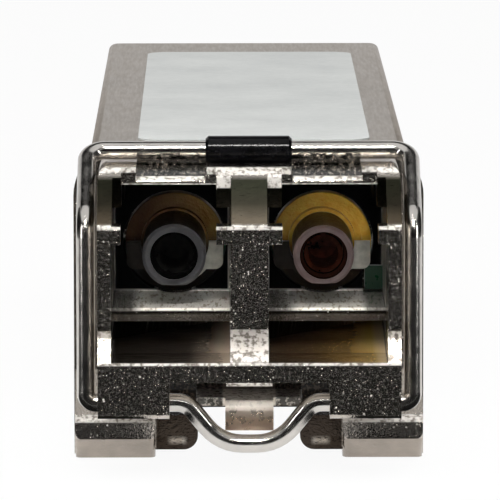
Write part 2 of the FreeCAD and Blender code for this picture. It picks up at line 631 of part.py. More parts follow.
# ---------------------------------------------------------------- optical subassemblies
def barrel(side, x):
    """Receptacle barrel, with its counterbored mouth and a flat underneath."""
    radius = BARREL_R[side]
    body = rod_y(x, 0, radius, BARREL_Y, COLLAR_Y)
    front = [e for e in body.Edges if isinstance(e.Curve, Part.Circle) and e.CenterOfMass.y < BARREL_Y + 0.01]
    body = body.makeChamfer(BARREL_CHAMFER, front)
    flat = box(x - radius, x + radius, BARREL_Y - 1, BARREL_Y + BARREL_FLAT_L, -radius - 1, -radius + BARREL_FLAT)
    mouth = rod_y(x, 0, BARREL_MOUTH_R, BARREL_Y - 1, SLEEVE_Y)
    seat = rod_y(x, 0, SLEEVE_BORE_R + SPLIT_SLEEVE_T + SLEEVE_FIT, SLEEVE_Y - 1, STUB_Y)
    stub = rod_y(x, 0, STUB_R + SLEEVE_FIT, SLEEVE_Y, COLLAR_Y + 1)
    return body.cut(flat).cut(mouth).cut(seat).cut(stub)


def split_sleeve(x):
    """Ceramic alignment sleeve with its slit."""
    y1 = SLEEVE_Y + SPLIT_SLEEVE_L
    outer = rod_y(x, 0, SLEEVE_BORE_R + SPLIT_SLEEVE_T, SLEEVE_Y, y1)
    slit = centred(SPLIT_SLEEVE_SLIT, SLEEVE_Y - 1, y1 + 1, 0, SLEEVE_BORE_R + 1, x)
    return outer.cut(rod_y(x, 0, SLEEVE_BORE_R, SLEEVE_Y - 1, y1 + 1)).cut(slit)


def fibre_stub(x):
    """Ferrule stub behind the sleeve, half in the barrel and half in the collar."""
    return rod_y(x, 0, STUB_R, STUB_Y, COLLAR_Y + STUB_IN_COLLAR)


def collar(x):
    """Gold-plated flange of the subassembly."""
    middle = COLLAR_Y + COLLAR_L / 2
    front = rod_y(x, 0, COLLAR_R, COLLAR_Y, middle)
    rear = rod_y(x, 0, COLLAR_REAR_R, middle, COLLAR_Y + COLLAR_L)
    seat = rod_y(x, 0, STUB_R + SLEEVE_FIT, COLLAR_Y - 1, COLLAR_Y + STUB_IN_COLLAR + SLEEVE_FIT)
    groove = rod_y(x, 0, GROOVE_R1, COLLAR_Y - 1, COLLAR_Y + GROOVE_D).cut(rod_y(x, 0, GROOVE_R0, 0, REAR_Y))
    return front.fuse(rear).removeSplitter().cut(seat).cut(groove)


def saddle(side, x):
    """Clip under the barrel that holds the subassembly forward."""
    y1 = BAY_DEPTH + CLAMP_T
    notch_r = BARREL_R[side] + CLAMP_CLEAR
    plate = centred(SADDLE_W, BAY_DEPTH, y1, -SADDLE_BOTTOM, SADDLE_TOP, x)
    plate = round_edges(plate, SADDLE_R, lambda p, d: abs(d.y) > 0.9 and p.z < 0)
    strap = rod_y(x, 0, notch_r + SADDLE_STRAP_T, BAY_DEPTH, y1)
    strap = strap.cut(centred(SADDLE_W, BAY_DEPTH, y1, -SADDLE_R, BODY_H, x))
    return plate.fuse(strap).removeSplitter().cut(rod_y(x, 0, notch_r, BAY_DEPTH - 1, y1 + 1))


def osa_can(side, x):
    """Metal can behind the collar, with its header."""
    y0 = COLLAR_Y + COLLAR_L
    y1 = y0 + CAN_L[side]
    can = rod_y(x, 0, CAN_R[side], y0, y1)
    return can.fuse(rod_y(x, 0, HEADER_R, y1, y1 + HEADER_T)).removeSplitter()


def osa_flex(side, x):
    """Flexible circuit from the header down to the board."""
    y0 = COLLAR_Y + COLLAR_L + CAN_L[side] + HEADER_T
    z_low = PCB_TOP_Z
    profile = [(y0, HEADER_R), (y0 + FLEX_T, HEADER_R), (y0 + FLEX_T, z_low + 0.7),
               (y0 + FLEX_T + 0.7, z_low + FLEX_T), (PCB_Y + FLEX_LAP, z_low + FLEX_T),
               (PCB_Y + FLEX_LAP, z_low), (y0 + 0.7, z_low), (y0, z_low + 0.7)]
    return prism_x(profile, x - FLEX_W / 2, x + FLEX_W / 2)


# ---------------------------------------------------------------- circuit board
def circuit_board():
    """Board with its narrower edge connector and an arm that reaches forward beside the receive can."""
    w = PCB_HALF_W
    e = PCB_EDGE_W / 2
    lead = 0.4
    outline = [(-w, PCB_Y), (w, PCB_Y), (w, PCB_NECK_Y), (e, PCB_NECK_Y + 0.6), (e, PCB_END_Y - lead),
               (e - lead, PCB_END_Y), (-e + lead, PCB_END_Y), (-e, PCB_END_Y - lead),
               (-e, PCB_NECK_Y + 0.6), (-w, PCB_NECK_Y)]
    board = prism_z(outline, PCB_BOTTOM_Z, PCB_TOP_Z)
    arm = box(ARM_X, w, ARM_Y, PCB_Y + 0.1, PCB_BOTTOM_Z, PCB_TOP_Z)
    tip = box(ARM_FRONT_X, w, ARM_Y, ARM_Y + ARM_FRONT_L, PCB_BOTTOM_Z, PCB_TOP_Z)
    return board.multiFuse([arm, tip]).removeSplitter()


def edge_contacts():
    """Gold pads on both faces of the board's edge."""
    pads = []
    y1 = PCB_END_Y - PAD_INSET
    for i in range(PAD_COUNT):
        x = (i - (PAD_COUNT - 1) / 2) * PAD_PITCH
        pads.append(centred(PAD_WIDTH, y1 - PAD_LEN, y1, PCB_TOP_Z, PCB_TOP_Z + PAD_T, x))
        pads.append(centred(PAD_WIDTH, y1 - PAD_LEN, y1, PCB_BOTTOM_Z - PAD_T, PCB_BOTTOM_Z, x))
    return pads


def chip(share, front, side, height):
    """Square moulded package with a chamfered top, on the board."""
    y = PCB_Y + front
    base = centred(side, y - side / 2, y + side / 2, PCB_TOP_Z, PCB_TOP_Z + height, share * PCB_HALF_W)
    top = [e for e in base.Edges if e.CenterOfMass.z > PCB_TOP_Z + height - 0.01]
    return base.makeChamfer(CHIP_CHAMFER, top)


def chip_components():
    """Small capacitors and resistors in rows between the chips."""
    parts = []
    pitch = 2 * PCB_HALF_W / (SMALL_COLUMNS + 1)
    for row in range(SMALL_ROWS):
        y = PCB_Y + SMALL_FRONT + row * SMALL_ROW_PITCH
        for column in range(SMALL_COLUMNS):
            x = (column - (SMALL_COLUMNS - 1) / 2) * pitch
            parts.append(centred(SMALL_L, y, y + SMALL_W, PCB_TOP_Z, PCB_TOP_Z + SMALL_W, x))
    return parts


# ---------------------------------------------------------------- shield collar
def shield_finger(y, z):
    """One bowed finger on the right side, standing out of the collar."""
    x = BODY_W / 2 - EMI_RECESS
    y1 = y + EMI_L
    middle = (y + y1) / 2
    outer = Part.Arc(V(x + EMI_T, y, z), V(x + EMI_T + EMI_BOW, middle, z), V(x + EMI_T, y1, z)).toShape()
    inner = Part.Arc(V(x, y1, z), V(x + EMI_BOW, middle, z), V(x, y, z)).toShape()
    ends = [Part.LineSegment(V(x + EMI_T, y1, z), V(x, y1, z)).toShape(),
            Part.LineSegment(V(x, y, z), V(x + EMI_T, y, z)).toShape()]
    face = Part.Face(Part.Wire([outer, ends[0], inner, ends[1]]))
    return face.extrude(V(0, 0, EMI_FINGER_W))


def shield_half():
    """Right half of the shield collar: two bands, three fingers and a foot under the body."""
    x = BODY_W / 2 - EMI_RECESS
    z0 = BOTTOM_Z + EMI_RECESS - EMI_T
    z1 = TOP_Z - EMI_DROP
    y0 = STOP_Y + SLIDE_CLEAR
    y1 = STOP_Y + EMI_L
    band = 0.5
    parts = [box(x, x + EMI_T, y0, y0 + band, z0, z1), box(x, x + EMI_T, y1 - band, y1, z0, z1)]
    parts.append(box(BODY_W / 2 - EMI_FOOT_W + SEAM_GAP, x + EMI_T, y0, y1, z0, z0 + EMI_T))
    pitch = (z1 - z0 - EMI_FINGER_W) / (EMI_FINGERS - 1)
    for i in range(EMI_FINGERS):
        finger = shield_finger(y0, z0 + i * pitch)
        finger = finger.common(box(x, x + 1, y0, y1, z0, z1))
        parts.append(finger)
    return parts[0].multiFuse(parts[1:]).removeSplitter()


# ---------------------------------------------------------------- nodes
def build():
    """Write every node."""
    os.makedirs("parts", exist_ok=True)
    export("housing_casting", housing())
    export("top_cover", cover())
    export("label_plate", label())
    export("bail_wire", bail_wire())
    export("bail_sleeve", bail_sleeve())
    export("actuator_slide", actuator_slide())
    export("actuator_keeper", actuator_keeper())
    export("return_spring", return_spring())
    for side, sign in (("tx", -1), ("rx", 1)):
        x = sign * HALF_PITCH
        export(side + "_barrel", barrel(side, x))
        export(side + "_split_sleeve", split_sleeve(x))
        export(side + "_fibre_stub", fibre_stub(x))
        export(side + "_collar", collar(x))
        export(side + "_saddle", saddle(side, x))
        export(side + "_can", osa_can(side, x))
        export(side + "_flex_circuit", osa_flex(side, x))
    export("circuit_board", circuit_board())
    export("edge_contacts", edge_contacts())
    for name, place in CHIPS.items():
        export(name, chip(*place))
    export("chip_components", chip_components())
    shield = shield_half()
    export("shield_collar", [shield, mirrored(shield)])


build()
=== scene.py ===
"""Looks, light and camera for the optical transceiver. Metres, in the CAD's frame."""
import math
import bpy
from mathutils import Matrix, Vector


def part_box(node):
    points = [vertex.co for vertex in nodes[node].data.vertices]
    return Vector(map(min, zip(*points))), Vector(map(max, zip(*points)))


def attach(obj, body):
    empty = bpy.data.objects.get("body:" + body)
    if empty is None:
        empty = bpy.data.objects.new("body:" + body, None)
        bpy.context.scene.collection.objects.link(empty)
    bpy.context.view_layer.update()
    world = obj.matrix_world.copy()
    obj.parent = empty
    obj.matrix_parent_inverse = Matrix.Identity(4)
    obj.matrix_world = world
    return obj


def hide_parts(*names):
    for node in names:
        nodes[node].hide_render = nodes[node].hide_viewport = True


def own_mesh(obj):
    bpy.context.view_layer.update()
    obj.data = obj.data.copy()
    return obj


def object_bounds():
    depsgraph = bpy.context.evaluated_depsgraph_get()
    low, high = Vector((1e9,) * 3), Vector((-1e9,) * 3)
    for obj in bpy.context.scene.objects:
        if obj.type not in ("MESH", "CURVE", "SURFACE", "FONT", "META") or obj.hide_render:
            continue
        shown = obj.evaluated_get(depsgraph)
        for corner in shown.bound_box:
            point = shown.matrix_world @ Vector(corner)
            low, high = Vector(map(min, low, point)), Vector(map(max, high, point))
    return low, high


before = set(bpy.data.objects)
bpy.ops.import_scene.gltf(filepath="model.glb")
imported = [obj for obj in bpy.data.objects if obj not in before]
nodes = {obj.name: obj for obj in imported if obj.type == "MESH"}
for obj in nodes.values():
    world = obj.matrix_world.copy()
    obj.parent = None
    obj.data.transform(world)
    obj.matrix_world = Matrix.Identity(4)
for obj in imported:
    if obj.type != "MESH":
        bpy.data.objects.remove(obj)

cad_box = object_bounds()
scene = bpy.context.scene
MM = 0.001
PORT_X = 3.125           # optical axes off the middle, mm
BORE_R = 1.03            # bore of a barrel, mm
SPRING_WIRE_R = 0.08     # wire of the return spring, mm
SPRING_TURNS = 4
VIEW_ANGLE = 4.5533      # camera's angle of view, degrees
EYE = (-1.25, -255.7, 33.03)           # camera's place, mm
EYE_TURN = (82.825, 0.077, -0.295)     # camera's turn, degrees

# places on the casting in mm, X on both sides of the middle, where painted light and painted shade go
PLACES = {
    "slope": {"X": (-1.0, 6.4), "Y": (-0.1, 2.7), "Z": (1.85, 3.55)},
    "column": {"X": (4.9, 6.4), "Y": (-0.1, 2.7), "Z": (1.85, 3.55)},
    "seat": {"X": (-1.0, 6.3), "Y": (3.25, 7.6), "Z": (3.40, 3.60)},
    "shelf": {"X": (0.8, 5.72), "Y": (4.15, 9.7), "Z": (-2.25, -2.05)},
    "groove": {"X": (0.8, 5.72), "Y": (3.6, 4.3), "Z": (-2.38, -2.24)},
    "bottom": {"X": (0.8, 5.68), "Y": (0.12, 9.6), "Z": (-4.0, -3.0)},
    "deep": {"X": (0.85, 5.68), "Y": (3.4, 11.3), "Z": (-2.05, 3.19)},
    "under": {"X": (0.85, 5.68), "Y": (4.0, 11.3), "Z": (-3.2, -2.60)},
    "side_ramp": {"X": (5.60, 6.4), "Y": (-0.2, 2.0), "Z": (-3.83, -2.4)},
    "rail": {"X": (2.0, 3.93), "Y": (5.8, 9.1), "Z": (-8.5, -5.0)},
    "rail_highlight": {"X": (2.70, 3.35), "Y": (5.8, 9.1), "Z": (-8.10, -7.92)},
    "chamfer": {"X": (2.8, 7.5), "Y": (5.0, 7.0), "Z": (-8.95, -7.84)},
}
# places on the casting that get a painted highlight, in mm
PAINTED_GLINTS = {
    "nose_lip": {"X": (-1, 6.35), "Y": (-0.2, 0.14), "Z": (-3.96, -3.83)},
    "catch_edge": {"X": (-1, 6.35), "Y": (-0.2, 0.16), "Z": (1.66, 1.86)},
    "foot_edge": {"X": (3.9, 7.5), "Y": (5.3, 5.9), "Z": (-7.16, -6.86)},
    "hood_line": {"X": (1.33, 5.33), "Y": (2.8, 3.15), "Z": (3.18, 3.25)},
    "hood_edge": {"X": (1.85, 4.7), "Y": (2.7, 3.4), "Z": (3.36, 3.56)},
    "middle_top": {"X": (-1, 1.75), "Y": (2.6, 3.3), "Z": (3.62, 3.95)},
    "stem_ramp": {"X": (-1, 0.80), "Y": (-0.2, 1.4), "Z": (-3.83, -2.55)},
    "column_ramp": {"X": (5.68, 6.3), "Y": (-0.2, 0.7), "Z": (-3.83, -2.60)},
    "column_top": {"X": (4.6, 6.3), "Y": (2.5, 3.3), "Z": (3.70, 3.95)},
    "middle_ear": {"X": (0.75, 1.35), "Y": (2.2, 3.0), "Z": (3.1, 3.9)},
    "nose_underside": {"X": (-1, 0.93), "Y": (1.1, 1.8), "Z": (-5.10, -4.74)},
}


# ---------------------------------------------------------------- material helpers
def material(name):
    """New node material: (material, node tree, principled shader)."""
    mat = bpy.data.materials.new(name)
    mat.use_nodes = True
    tree = mat.node_tree
    return mat, tree, tree.nodes["Principled BSDF"]


def coords(tree, stretch=(1, 1, 1)):
    """Object coordinates in millimetres, stretched."""
    coord = tree.nodes.new("ShaderNodeTexCoord")
    mapping = tree.nodes.new("ShaderNodeMapping")
    mapping.inputs["Scale"].default_value = [s / MM for s in stretch]
    tree.links.new(coord.outputs["Object"], mapping.inputs["Vector"])
    return mapping.outputs["Vector"]


def noise(tree, vector, scale, detail=3.0, roughness=0.55):
    """Noise value."""
    node = tree.nodes.new("ShaderNodeTexNoise")
    node.inputs["Scale"].default_value = scale
    node.inputs["Detail"].default_value = detail
    node.inputs["Roughness"].default_value = roughness
    tree.links.new(vector, node.inputs["Vector"])
    return node.outputs["Fac"]


def voronoi(tree, vector, scale):
    """Distance to the nearest cell point."""
    node = tree.nodes.new("ShaderNodeTexVoronoi")
    node.inputs["Scale"].default_value = scale
    tree.links.new(vector, node.inputs["Vector"])
    return node.outputs["Distance"]


def grey(level):
    """A neutral colour."""
    return (level, level, level)


def ramp(tree, value, stops):
    """Colour ramp from a value; stops are (place, colour)."""
    node = tree.nodes.new("ShaderNodeValToRGB")
    elements = node.color_ramp.elements
    while len(elements) < len(stops):
        elements.new(0.5)
    for element, (place, colour) in zip(elements, stops):
        element.position = place
        element.color = (*colour, 1)
    tree.links.new(value, node.inputs["Fac"])
    return node.outputs["Color"]


def span(tree, value, low, high, start=0.0, end=1.0):
    """Value mapped from start..end to low..high."""
    node = tree.nodes.new("ShaderNodeMapRange")
    node.inputs["From Min"].default_value = start
    node.inputs["From Max"].default_value = end
    node.inputs["To Min"].default_value = low
    node.inputs["To Max"].default_value = high
    tree.links.new(value, node.inputs["Value"])
    return node.outputs["Result"]


def math_node(tree, operation, *values):
    """Maths of values, any of which may be a number, taken from left to right."""
    result = values[0]
    for value in values[1:] or (0,):
        node = tree.nodes.new("ShaderNodeMath")
        node.operation = operation
        for socket, term in zip(node.inputs, (result, value)):
            if isinstance(term, (int, float)):
                socket.default_value = term
            else:
                tree.links.new(term, socket)
        result = node.outputs["Value"]
    return result


def biggest(tree, *values):
    """Largest of the values."""
    return math_node(tree, "MAXIMUM", *values)


def times(tree, *values):
    """Product of the values."""
    return math_node(tree, "MULTIPLY", *values)


def split(tree, output, name):
    """One component of the object's texture coordinates."""
    coord = tree.nodes.new("ShaderNodeTexCoord")
    parts = tree.nodes.new("ShaderNodeSeparateXYZ")
    tree.links.new(coord.outputs[output], parts.inputs["Vector"])
    return parts.outputs[name]


def axis(tree, name):
    """One object coordinate in millimetres."""
    return times(tree, split(tree, "Object", name), 1 / MM)


def beside(tree):
    """Distance from the middle plane in millimetres."""
    return math_node(tree, "ABSOLUTE", axis(tree, "X"))


def facing(tree):
    """1 where a face looks forwards."""
    return span(tree, split(tree, "Normal", "Y"), 1.0, 0.0, -0.97, -0.80)


def between(tree, value, low, high, edge=0.1):
    """1 between two places along an axis, 0 outside, with soft edges."""
    rise = span(tree, value, 0.0, 1.0, low - edge, low + edge)
    fall = span(tree, value, 1.0, 0.0, high - edge, high + edge)
    return times(tree, rise, fall)


def region(tree, limits, edge):
    """Mask of a box given as {"X": (low, high), ...}, in millimetres; X counts from the middle plane."""
    values = {"X": beside(tree), "Y": axis(tree, "Y"), "Z": axis(tree, "Z")}
    return times(tree, *[between(tree, values[name], *limits[name], edge) for name in limits])


def mix(tree, under, over, mask=1.0, blend="MIX"):
    """One colour over another where the mask is 1; colours and mask may be plain."""
    node = tree.nodes.new("ShaderNodeMix")
    node.data_type = "RGBA"
    node.blend_type = blend
    node.clamp_factor = True
    for socket, value in zip((node.inputs[0], node.inputs[6], node.inputs[7]), (mask, under, over)):
        if isinstance(value, float):
            socket.default_value = value
        elif isinstance(value, tuple):
            socket.default_value = (*value, 1)
        else:
            tree.links.new(value, socket)
    return node.outputs[2]


def tinted(tree, under, over, mask=1.0):
    """One colour multiplied by another where the mask is 1."""
    return mix(tree, under, over, mask, "MULTIPLY")


def mottle(tree, place, scale, dark, light, detail=3, stops=(0.3, 0.7)):
    """Noise between two colours."""
    return ramp(tree, noise(tree, place, scale, detail), [(stops[0], dark), (stops[1], light)])


def speckle(tree, place, scale, low, high):
    """Fine speckle between two greys."""
    return ramp(tree, noise(tree, place, scale, 2, 0.6), [(0.50, grey(low)), (0.63, grey(high))])


def painted_sparkle(tree, place):
    """Painted sparkle: sparse bright specks in clusters over a faint fine grain."""
    dots = span(tree, voronoi(tree, place, 6.0), 0.8, 0.0, 0.12, 0.34)
    some = span(tree, noise(tree, place, 2.4, 2), 0.0, 1.0, 0.53, 0.66)
    fine = span(tree, noise(tree, place, 10.0, 2, 0.6), 0.0, 0.24, 0.55, 0.72)
    return biggest(tree, times(tree, dots, some), fine)


def uneven(tree, value, low, high, start=0.3, end=0.7):
    """Roughness that follows a noise value."""
    return span(tree, value, low, high, start, end)


SOCKETS = {"colour": "Base Color", "metal": "Metallic", "rough": "Roughness", "shine": "Specular IOR Level"}


def feed(tree, shader, **values):
    """Give a shader's inputs plain values or links: colour, metal, rough, shine."""
    for name, value in values.items():
        if isinstance(value, float):
            shader.inputs[SOCKETS[name]].default_value = value
        else:
            tree.links.new(value, shader.inputs[SOCKETS[name]])


def bump(tree, shader, heights):
    """Bumps one over the other; heights are (value, depth in millimetres)."""
    normal = None
    for height, depth in heights:
        node = tree.nodes.new("ShaderNodeBump")
        node.inputs["Strength"].default_value = 1.0
        node.inputs["Distance"].default_value = depth * MM
        tree.links.new(height, node.inputs["Height"])
        if normal is not None:
            tree.links.new(normal, node.inputs["Normal"])
        normal = node.outputs["Normal"]
    tree.links.new(normal, shader.inputs["Normal"])


def dress(obj, mat):
    """Put one material on all of an object."""
    obj.data.materials.clear()
    obj.data.materials.append(mat)
    for polygon in obj.data.polygons:
        polygon.material_index = 0


# ---------------------------------------------------------------- materials
def slope_painted_shading(tree, tint):
    """The slope above the catches with painted shading, dark at the top and lighter towards them, and the
    columns darkened with painted shade: (tint, mask).
    """
    slope = region(tree, PLACES["slope"], 0.1)
    height = span(tree, axis(tree, "Z"), 1.0, 0.0, 1.85, 3.2)
    # painted shading: dark at the top of the slope, light towards the catches
    shade = ramp(tree, height, [(0.0, (0.11, 0.125, 0.09)),
                                (0.45, (0.16, 0.16, 0.125)),
                                (1.0, (0.60, 0.54, 0.44))])
    tint = tinted(tree, tint, shade, slope)
    # painted shade on the columns
    tint = tinted(tree, tint, (0.42, 0.40, 0.37), region(tree, PLACES["column"], 0.1))
    return tint, slope


def shelf_painted_light_and_shade(tree, tint, drawn, along):
    """The shelves that a plug slides on, with painted light and painted shadow in parts, and the groove
    before them darkened with painted shade: (tint, mask).
    """
    # painted light and painted shadow along the shelves
    lit = ramp(tree, along, [(0.0, grey(0.10)), (0.07, grey(0.16)), (0.12, grey(1.0)),
                             (0.43, grey(1.0)), (0.57, grey(0.08)), (0.64, grey(0.20)),
                             (0.69, grey(1.0)), (0.91, grey(1.0)), (0.94, grey(0.25))])
    grain = mottle(tree, drawn, 7.0, (0.56, 0.50, 0.42), (1.0, 0.96, 0.88), 2, (0.36, 0.48))
    shelf = region(tree, PLACES["shelf"], 0.03)
    tint = mix(tree, tint, tinted(tree, grain, lit), shelf)
    # painted shade in the groove
    tint = tinted(tree, tint, (0.12, 0.11, 0.10), region(tree, PLACES["groove"], 0.03))
    return tint, shelf


def cavity_painted_shade(tree, tint, along):
    """Floors with a painted reflection of what stands beside them, and painted shade, near black, deep in
    the cavity and under the shelves: (tint, floor, dark).
    """
    # painted reflection on the cavity floors
    tone = ramp(tree, along, [(0.0, (0.010, 0.008, 0.006)), (0.28, (0.020, 0.016, 0.013)),
                              (0.36, (0.16, 0.125, 0.095)), (0.43, (0.42, 0.34, 0.26)),
                              (0.57, (0.03, 0.02, 0.012)), (0.74, (0.045, 0.027, 0.013)),
                              (0.86, (0.16, 0.095, 0.030)), (0.95, (0.34, 0.23, 0.075)),
                              (1.0, (0.60, 0.48, 0.30))])
    bottom = region(tree, PLACES["bottom"], 0.03)
    dark = biggest(tree, region(tree, PLACES["deep"], 0.05), region(tree, PLACES["under"], 0.05))
    tint = mix(tree, tint, tone, bottom)
    # painted shade: near black deep inside and under the shelves
    return mix(tree, tint, grey(0.002), dark), bottom, dark


def painted_glints(tree, tint, place):
    """Painted highlights on rounded edges and ramps that catch the light, toned down on the ramps beside
    the columns: (tint, mask).
    """
    glint = biggest(tree, *[region(tree, limits, 0.03) for limits in PAINTED_GLINTS.values()])
    bright = mottle(tree, place, 5.0, (0.28, 0.25, 0.22), (0.94, 0.90, 0.84), 2, (0.38, 0.54))
    tint = mix(tree, tint, bright, glint)
    # painted highlight toned down on the ramps beside the columns
    tint = tinted(tree, tint, (0.75, 0.73, 0.70), region(tree, PLACES["side_ramp"], 0.04))
    return tint, glint


def foot_painted_shade(tree, tint):
    """Guide rails darkened with painted shade under the feet, with a painted highlight on them, and the
    feet's chamfers darkened with painted shade: (tint, mask of the rails).
    """
    rail = region(tree, PLACES["rail"], 0.05)
    # painted shade on the rails
    tint = tinted(tree, tint, (0.10, 0.085, 0.075), rail)
    # painted highlight on the rails
    tint = mix(tree, tint, (0.62, 0.57, 0.50), region(tree, PLACES["rail_highlight"], 0.12))
    # painted shade on the chamfers
    tint = tinted(tree, tint, (0.74, 0.71, 0.68), region(tree, PLACES["chamfer"], 0.04))
    return tint, rail


def cast_nickel():
    """Nickel over a zinc casting: warm and grained, with bright flecks of painted sparkle, painted
    highlights, painted light and painted shade; matt inside, and dark there with painted shade.
    """
    mat, tree, shader = material("cast_nickel")
    place = coords(tree)
    drawn = coords(tree, (1, 0.13, 1))
    along = span(tree, axis(tree, "X"), 0.0, 1.0, -5.7, 5.7)
    tint = mottle(tree, place, 0.9, (0.50, 0.46, 0.415), (0.64, 0.59, 0.53), 4)
    tint, slope = slope_painted_shading(tree, tint)
    # painted shade: the recessed seat on top of the nose is darkened in speckles, with a few brighter
    # specks
    seat = region(tree, PLACES["seat"], 0.05)
    tint = tinted(tree, tint, speckle(tree, drawn, 6.0, 0.02, 1.5), seat)
    tint, shelf = shelf_painted_light_and_shade(tree, tint, drawn, along)
    tint, bottom, dark = cavity_painted_shade(tree, tint, along)
    tint, glint = painted_glints(tree, tint, place)
    tint, rail = foot_painted_shade(tree, tint)
    bare = span(tree, biggest(tree, rail, glint, dark, slope), 1.0, 0.0)
    # painted sparkle: bright specks as highlights, only on faces that look forwards
    sparkle = times(tree, painted_sparkle(tree, place), facing(tree), bare)
    tint = mix(tree, tint, (0.92, 0.87, 0.80), sparkle)

    matt = biggest(tree, shelf, bottom, dark, sparkle, times(tree, glint, 0.6))
    rough = uneven(tree, noise(tree, place, 3.0, 3), 0.16, 0.20)
    feed(tree, shader, colour=tint, metal=span(tree, matt, 1.0, 0.0), shine=span(tree, dark, 0.5, 0.03),
         rough=math_node(tree, "ADD", rough, times(tree, dark, 0.4)))
    fine = noise(tree, place, 12.0, 2, 0.6)
    grit = math_node(tree, "POWER", noise(tree, place, 7.5, 2, 0.5), 8)
    textured = span(tree, biggest(tree, bottom, dark, times(tree, slope, 0.75)), 1.0, 0.06)
    bump(tree, shader, [(noise(tree, place, 1.1, 2), 0.02),
                        (times(tree, fine, textured), 0.013),
                        (times(tree, grit, textured), 0.13)])
    return mat


def cover_nickel():
    """Nickel-plated sheet, satin."""
    mat, tree, shader = material("cover_nickel")
    place = coords(tree)
    tint = mottle(tree, place, 0.35, (0.350, 0.300, 0.250), (0.395, 0.340, 0.285))
    streak = noise(tree, coords(tree, (6, 0.4, 6)), 1.5, 3)
    feed(tree, shader, metal=1.0, colour=tint, rough=uneven(tree, streak, 0.30, 0.42))
    bump(tree, shader, [(noise(tree, place, 9.0, 2), 0.0012)])
    return mat


def bright_wire():
    """Drawn spring wire with bright nickel."""
    mat, tree, shader = material("bright_wire")
    place = coords(tree)
    tint = mottle(tree, place, 0.8, (0.60, 0.575, 0.54), (0.70, 0.67, 0.63), 2)
    rough = uneven(tree, noise(tree, place, 2.0, 3), 0.15, 0.26, 0.35, 0.65)
    feed(tree, shader, metal=1.0, colour=tint, rough=rough)
    bump(tree, shader, [(noise(tree, place, 1.6, 2), 0.004), (noise(tree, place, 8.0, 2), 0.0016)])
    return mat


def stamped_steel(name, shade):
    """Stamped sheet, nickel-plated, copper-brown and darker towards the bottom; a painted highlight along
    the tab's bend, and dark at the very top.
    """
    mat, tree, shader = material(name)
    place = coords(tree)
    height = span(tree, axis(tree, "Z"), 0.0, 1.0, -7.0, -5.7)
    # copper-brown low down, then a painted highlight along the bend, dark at the very top
    fade = ramp(tree, height, [(0.0, (0.42, 0.33, 0.26)), (0.35, (0.58, 0.43, 0.31)),
                               (0.62, (0.70, 0.60, 0.50)), (0.80, (1.0, 0.92, 0.82)),
                               (0.97, (0.95, 0.88, 0.80)), (1.0, (0.16, 0.13, 0.11))])
    tint = tinted(tree, fade, mottle(tree, place, 1.2, grey(0.85), grey(1.0), 3, (0.2, 0.8)))
    # darkened by the given painted shade, none on the slide
    tint = tinted(tree, tint, shade)
    off_tab = span(tree, beside(tree), 0.0, 1.0, 1.06, 1.14)
    tint = tinted(tree, tint, speckle(tree, place, 7.0, 0.10, 0.7), off_tab)
    feed(tree, shader, metal=span(tree, height, 0.75, 0.10, 0.62, 0.70), colour=tint,
         rough=uneven(tree, noise(tree, place, 4.0, 2), 0.26, 0.30))
    bump(tree, shader, [(noise(tree, place, 6.0, 2), 0.003)])
    return mat


def spring_steel():
    """Bright spring strip."""
    mat, tree, shader = material("spring_steel")
    tint = mottle(tree, coords(tree), 0.6, (0.58, 0.56, 0.52), (0.66, 0.64, 0.60), 2)
    streak = noise(tree, coords(tree, (1, 0.2, 3)), 4.0, 2)
    feed(tree, shader, metal=1.0, colour=tint, rough=uneven(tree, streak, 0.15, 0.30))
    bump(tree, shader, [(streak, 0.002)])
    return mat


def saddle_steel(name, side):
    """Spring strip with painted shade on its left side, where the barrel's shadow falls."""
    mat, tree, shader = material(name)
    place = coords(tree)
    tint = mottle(tree, place, 2.5, (0.55, 0.52, 0.46), (0.85, 0.81, 0.74), 2)
    centre = side * PORT_X
    # painted shadow of the barrel on the left side
    left = span(tree, axis(tree, "X"), 1.0, 0.0, centre + 0.2, centre + 1.5)
    tint = tinted(tree, tint, (0.05, 0.045, 0.04), left)
    feed(tree, shader, metal=0.6, colour=tint, rough=uneven(tree, noise(tree, place, 4.0, 2), 0.28, 0.42))
    bump(tree, shader, [(noise(tree, place, 6.0, 2), 0.006)])
    return mat


def gold_plate(name, side=0, dim=1.0, full=1.0):
    """Pebbled gold. On a collar (side -1 or 1) painted light and shade take it from dim to full across the
    port, and painted shade darkens its lower half, in the dark of the cavity."""
    mat, tree, shader = material(name)
    place = coords(tree)
    tint = mottle(tree, place, 3.0, (0.92, 0.47, 0.03), (1.0, 0.68, 0.08))
    if side:
        centre = side * PORT_X
        # painted light and painted shade across the port
        light = span(tree, axis(tree, "X"), dim, full, centre - 1.4, centre + 2.0)
        tint = tinted(tree, tint, (0.06, 0.035, 0.015), math_node(tree, "SUBTRACT", 1.0, light))
        # painted shade on the lower half
        tint = tinted(tree, tint, (0.02, 0.014, 0.008), span(tree, axis(tree, "Z"), 1.0, 0.0, -0.6, 0.3))
    feed(tree, shader, metal=0.30, colour=tint, rough=uneven(tree, noise(tree, place, 3.0, 2), 0.30, 0.45))
    bump(tree, shader, [(noise(tree, place, 8.0, 2), 0.03)])
    return mat


